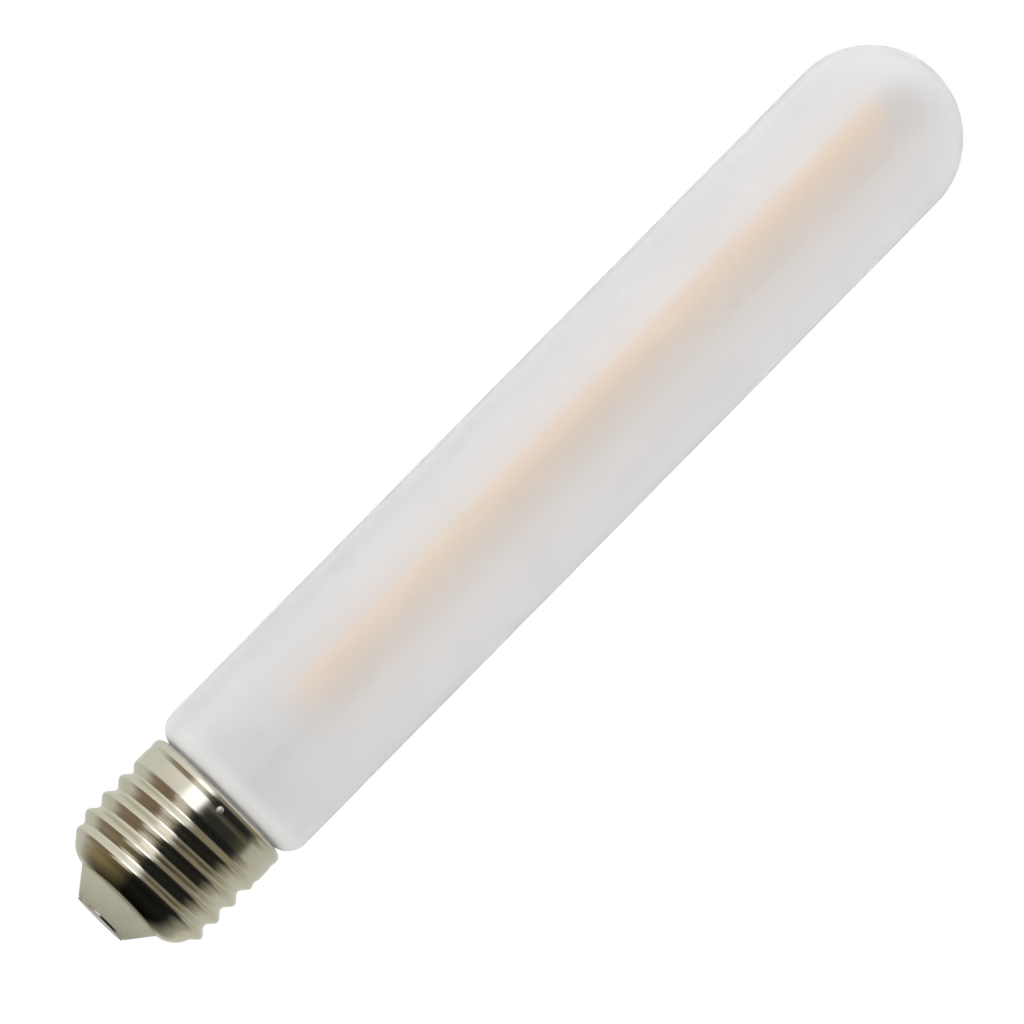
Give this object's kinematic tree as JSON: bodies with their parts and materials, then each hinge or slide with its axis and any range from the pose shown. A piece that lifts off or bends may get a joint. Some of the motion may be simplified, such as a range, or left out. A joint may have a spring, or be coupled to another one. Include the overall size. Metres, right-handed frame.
{
  "type": "tubular light bulb",
  "caption": "Long tubular light bulb: frosted glass tube with a domed tip, filament strips inside and a rolled metal screw cap with a centre contact.",
  "frame": {"origin": "middle of the centre contact's outer face, on the bulb's axis", "axes": "+Z along the bulb's axis from the cap to the domed tip; the two filaments lie in the XZ plane"},
  "size_m": [0.0285, 0.0284, 0.1823],
  "materials": {
    "frosted_glass": "blown soda-lime glass, inner face etched to a fine white frost",
    "nickel_shell": "rolled thin sheet with bright nickel plating",
    "nickel_contact": "stamped disc with bright nickel plating",
    "insulator_plastic": "moulded pale warm grey plastic, matte",
    "cement": "baked basing cement, chalky",
    "solder": "tin solder, set smooth and bright",
    "clear_glass": "drawn lead-free stem glass, clear",
    "lead_metal": "drawn nickel wire",
    "clip_metal": "folded nickel-plated iron strip",
    "phosphor": "silicone filled with yellow-orange phosphor, cast round the strip",
    "strip_ceramic": "sintered alumina strip",
    "board_laminate": "glass-fibre laminate under white solder resist",
    "capacitor_sleeve": "shrunk black sleeve",
    "fuse_coating": "fired grey-green coating",
    "package_resin": "moulded black epoxy"
  },
  "bodies": {
    "root": {"glass_envelope": "frosted_glass", "screw_shell": "nickel_shell", "insulator": "insulator_plastic", "centre_contact": "nickel_contact", "contact_lead": "lead_metal", "basing_cement": "cement", "side_solder": "solder", "shell_lead": "lead_metal", "stem": "clear_glass", "exhaust_tube": "clear_glass", "support_rod": "clear_glass", "lead_wire_1": "lead_metal", "lead_wire_2": "lead_metal", "bridge_wire": "lead_metal", "driver_board": "board_laminate", "capacitor": "capacitor_sleeve", "fuse_resistor": "fuse_coating", "bridge_rectifier": "package_resin", "driver_chip": "package_resin", "filament_1_substrate": "strip_ceramic", "filament_1_coat": "phosphor", "filament_1_lower_clip": "clip_metal", "filament_1_upper_clip": "clip_metal", "filament_2_substrate": "strip_ceramic", "filament_2_coat": "phosphor", "filament_2_lower_clip": "clip_metal", "filament_2_upper_clip": "clip_metal"}
  },
  "joints": []
}
